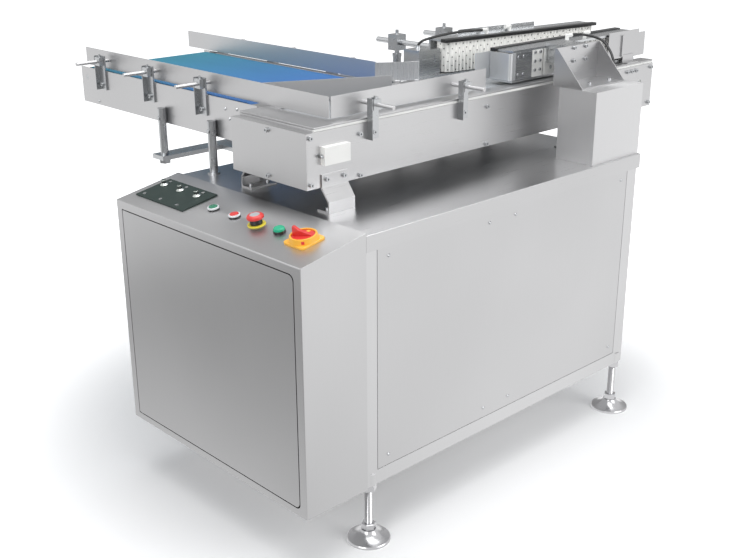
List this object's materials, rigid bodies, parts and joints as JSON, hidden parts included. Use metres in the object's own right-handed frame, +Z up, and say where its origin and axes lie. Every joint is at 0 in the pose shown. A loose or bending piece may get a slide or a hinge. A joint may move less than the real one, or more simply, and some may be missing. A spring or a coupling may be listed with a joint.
{
  "type": "bottle unscrambler",
  "caption": "Steel cabinet on levelling feet with a sloped control console, a blue infeed belt, a chain conveyor and two side gripper belts that turn bottles upright into one spaced line.",
  "frame": {"origin": "centre of the front left levelling foot's sole, on the floor", "axes": "+X along the main conveyor towards the outfeed, +Y from the front to the infeed's far end, +Z up"},
  "size_m": [1.5543, 1.4045, 1.0815],
  "materials": {
    "satin_steel": "satin",
    "dark_steel": "satin",
    "bright_steel": "polished",
    "aluminium": "satin",
    "grey_plastic": "matte",
    "motor_grey": "satin",
    "white_plastic": "satin",
    "white_rubber": "matte",
    "black_plastic": "satin",
    "black_hose": "satin",
    "blue_belt": "matte",
    "panel_green": "satin",
    "button_green": "gloss",
    "button_red": "gloss",
    "switch_yellow": "satin"
  },
  "bodies": {
    "root": {"cabinet_shell": "satin_steel", "deck_plate": "satin_steel", "access_panels": "satin_steel", "machine_screws": "bright_steel", "levelling_feet": "bright_steel", "console_box": "dark_steel", "door_pivots": "bright_steel", "console_gear": "grey_plastic", "speed_plate": "panel_green", "button_bodies": "white_plastic", "estop_base": "black_plastic", "power_lamp": "button_green", "switch_plate": "switch_yellow", "conveyor_frame": "satin_steel", "conveyor_end_covers": "satin_steel", "conveyor_legs": "satin_steel", "top_plates": "satin_steel", "wear_strips": "white_plastic", "chain": "grey_plastic", "chain_bearings": "white_plastic", "gearmotors": "motor_grey", "infeed_frame": "satin_steel", "infeed_belt": "blue_belt", "infeed_posts": "satin_steel", "guide_brackets": "satin_steel", "turning_guide": "satin_steel", "rear_supports": "satin_steel", "front_grip_frame": "aluminium", "front_grip_belt": "white_rubber", "front_top_bar": "black_plastic", "front_guard": "satin_steel", "front_blocks": "white_plastic", "front_hose": "black_hose", "stand": "satin_steel", "gusset_bracket": "satin_steel", "outfeed_guide": "satin_steel"},
    "console_door": {"console_door": "dark_steel"},
    "start_button": {"start_button_cap": "button_green"},
    "stop_button": {"stop_button_cap": "button_red"},
    "estop": {"estop_head": "button_red"},
    "main_switch": {"switch_handle": "button_red"},
    "speed_knob_1": {"speed_knob_1": "aluminium"},
    "speed_knob_2": {"speed_knob_2": "aluminium"},
    "speed_knob_3": {"speed_knob_3": "aluminium"},
    "chain_drive": {"chain_drive_shaft": "bright_steel"},
    "chain_idler": {"chain_idler_shaft": "bright_steel"},
    "infeed_drive": {"infeed_drive_roller": "bright_steel"},
    "infeed_tail": {"infeed_tail_roller": "bright_steel"},
    "rear_unit": {"rear_grip_frame": "aluminium", "rear_grip_belt": "white_rubber", "rear_top_bar": "black_plastic", "rear_fittings": "white_plastic", "rear_hose": "black_hose"},
    "rear_drive": {"rear_drive_pulley": "aluminium"},
    "rear_idler": {"rear_idler_pulley": "aluminium"},
    "front_drive": {"front_drive_pulley": "aluminium"},
    "front_idler": {"front_idler_pulley": "aluminium"},
    "near_guide": {"near_guide": "satin_steel"},
    "front_guide": {"front_guide": "satin_steel"},
    "far_guide": {"far_guide": "satin_steel"}
  },
  "joints": [
    {"name": "console_door_hinge", "type": "hinge", "parent": "root", "child": "console_door", "pos_m": [-0.2003, 0.649, 0.45], "axis": [0, 0, -1], "range_deg": [0, 90]},
    {"name": "start_button_press", "type": "slide", "parent": "root", "child": "start_button", "axis": [-0.1817, 0, 0.9834], "range_m": [-0.0025, 0], "stiffness_N_per_m": 400},
    {"name": "stop_button_press", "type": "slide", "parent": "root", "child": "stop_button", "axis": [-0.1817, 0, 0.9834], "range_m": [-0.0025, 0], "stiffness_N_per_m": 400},
    {"name": "estop_press", "type": "slide", "parent": "root", "child": "estop", "axis": [-0.1817, 0, 0.9834], "range_m": [-0.004, 0]},
    {"name": "main_switch_turn", "type": "hinge", "parent": "root", "child": "main_switch", "pos_m": [-0.11812, 0.07, 0.76846], "axis": [-0.1817, 0, 0.9834], "range_deg": [0, 90]},
    {"name": "speed_knob_1_turn", "type": "hinge", "parent": "root", "child": "speed_knob_1", "pos_m": [-0.09475, 0.4945, 0.77075], "axis": [-0.1817, 0, 0.9834], "range_deg": [-150, 150]},
    {"name": "speed_knob_2_turn", "type": "hinge", "parent": "root", "child": "speed_knob_2", "pos_m": [-0.09475, 0.564, 0.77075], "axis": [-0.1817, 0, 0.9834], "range_deg": [-150, 150]},
    {"name": "speed_knob_3_turn", "type": "hinge", "parent": "root", "child": "speed_knob_3", "pos_m": [-0.09475, 0.6335, 0.77075], "axis": [-0.1817, 0, 0.9834], "range_deg": [-150, 150]},
    {"name": "chain_drive_spin", "type": "hinge", "parent": "root", "child": "chain_drive", "pos_m": [1.278, 0.311, 0.9], "axis": [0, 1, 0], "continuous": true},
    {"name": "chain_idler_spin", "type": "hinge", "parent": "root", "child": "chain_idler", "pos_m": [0.064, 0.311, 0.9], "axis": [0, 1, 0], "continuous": true},
    {"name": "infeed_drive_spin", "type": "hinge", "parent": "root", "child": "infeed_drive", "pos_m": [0.278, 0.51, 0.938], "axis": [1, 0, 0], "continuous": true},
    {"name": "infeed_tail_spin", "type": "hinge", "parent": "root", "child": "infeed_tail", "pos_m": [0.278, 1.247, 0.938], "axis": [1, 0, 0], "continuous": true},
    {"name": "rear_unit_slide", "type": "slide", "parent": "root", "child": "rear_unit", "axis": [0, 1, 0], "range_m": [-0.02, 0.04]},
    {"name": "rear_drive_spin", "type": "hinge", "parent": "rear_unit", "child": "rear_drive", "pos_m": [1.23951, 0.36502, 1.01], "axis": [0, 0, 1], "continuous": true},
    {"name": "rear_idler_spin", "type": "hinge", "parent": "rear_unit", "child": "rear_idler", "pos_m": [0.71341, 0.42915, 1.01], "axis": [0, 0, 1], "continuous": true},
    {"name": "front_drive_spin", "type": "hinge", "parent": "root", "child": "front_drive", "pos_m": [1.258, 0.248, 1.01], "axis": [0, 0, 1], "continuous": true},
    {"name": "front_idler_spin", "type": "hinge", "parent": "root", "child": "front_idler", "pos_m": [0.753, 0.248, 1.01], "axis": [0, 0, 1], "continuous": true},
    {"name": "near_guide_slide", "type": "slide", "parent": "root", "child": "near_guide", "axis": [1, 0, 0], "range_m": [-0.012, 0.03]},
    {"name": "front_guide_slide", "type": "slide", "parent": "root", "child": "front_guide", "axis": [0, 1, 0], "range_m": [-0.012, 0]},
    {"name": "far_guide_slide", "type": "slide", "parent": "root", "child": "far_guide", "axis": [1, 0, 0], "range_m": [-0.04, 0.004]}
  ],
  "couplings": [
    {"joint": "chain_idler_spin", "follows": "chain_drive_spin", "ratio": 1},
    {"joint": "infeed_tail_spin", "follows": "infeed_drive_spin", "ratio": 1},
    {"joint": "rear_idler_spin", "follows": "rear_drive_spin", "ratio": 1},
    {"joint": "front_idler_spin", "follows": "front_drive_spin", "ratio": 1}
  ]
}
